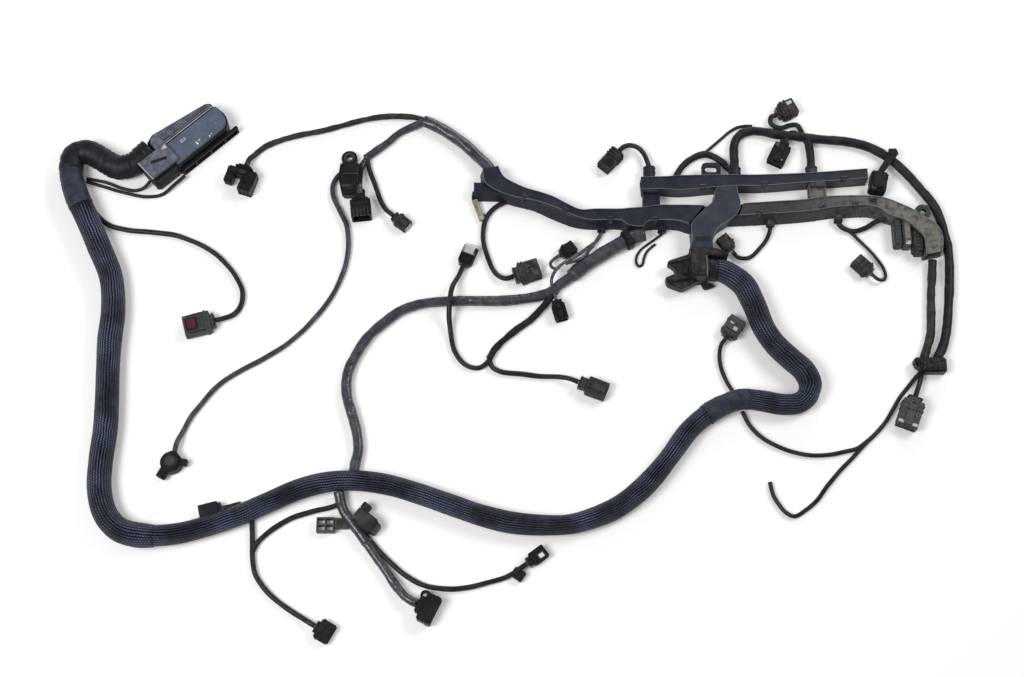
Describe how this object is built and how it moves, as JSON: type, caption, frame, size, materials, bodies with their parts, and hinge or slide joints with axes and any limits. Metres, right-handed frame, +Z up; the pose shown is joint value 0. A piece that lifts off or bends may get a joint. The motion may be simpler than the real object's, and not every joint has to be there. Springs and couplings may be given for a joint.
{
  "type": "engine wiring harness",
  "caption": "Engine wiring harness lying flat: ladder-shaped cable duct, thick braided loom with a control-unit connector, and taped leads with plugs.",
  "frame": {"origin": "on the table, under the flat underside of the duct where its rails meet the centre cover", "axes": "+X along the duct to the picture's right, +Y away from the camera, +Z up from the table"},
  "size_m": [1.0507, 0.6566, 0.031],
  "materials": {
    "duct_plastic": "satin moulded plastic",
    "dusty_plastic": "moulded plastic under brown dust",
    "slate_plastic": "satin blue-grey plastic",
    "braid": "woven braided sleeve",
    "tape": "wound harness tape",
    "black_plastic": "moulded plastic",
    "grey_plastic": "moulded plastic",
    "pale_plastic": "moulded plastic",
    "burgundy_plastic": "moulded plastic",
    "brown_plastic": "dusty moulded plastic"
  },
  "bodies": {
    "root": {"duct_tray": "duct_plastic", "duct_wires": "braid", "lid_left": "duct_plastic", "lid_right": "dusty_plastic", "lid_upper": "duct_plastic", "centre_cover": "slate_plastic", "outlet_bracket": "dusty_plastic", "end_clip": "duct_plastic", "main_loom": "braid", "ecu_tails": "tape", "lead_grey": "tape", "trunk_top": "tape", "lead_long": "tape", "lead_brown": "tape", "trunk_cross": "tape", "twin_wires": "tape", "lead_fork": "tape", "hook_wire": "tape", "lead_back": "tape", "arch_lead": "tape", "right_trunk": "tape", "lead_wall": "tape", "rail_leads": "tape", "right_drop": "tape", "right_tail": "tape", "lead_slate": "tape", "bottom_leads": "tape", "lead_loom": "tape", "ecu_clamp": "grey_plastic", "ecu_shell": "slate_plastic", "ecu_hood": "black_plastic", "ecu_flange": "black_plastic", "plug_grey": "grey_plastic", "plug_grey_latch": "burgundy_plastic", "plug_arched": "black_plastic", "plug_hooded": "black_plastic", "plug_small": "black_plastic", "eyelet_bracket": "black_plastic", "plug_round": "black_plastic", "plug_brown": "brown_plastic", "plug_under": "black_plastic", "plug_over": "black_plastic", "plug_pale": "pale_plastic", "plug_six_way": "black_plastic", "plug_back": "black_plastic", "plug_top": "brown_plastic", "plug_tab": "black_plastic", "plug_wall": "brown_plastic", "plug_pierced": "black_plastic", "plug_end_outer": "grey_plastic", "plug_end_inner": "brown_plastic", "trunk_clamp": "black_plastic", "plug_dusty": "dusty_plastic", "plug_slate": "grey_plastic", "plug_bottom_left": "black_plastic", "plug_ring": "black_plastic", "plug_bottom_right": "black_plastic", "carrier_grid": "grey_plastic", "cluster_plug": "brown_plastic", "plug_loom": "black_plastic"}
  },
  "joints": []
}
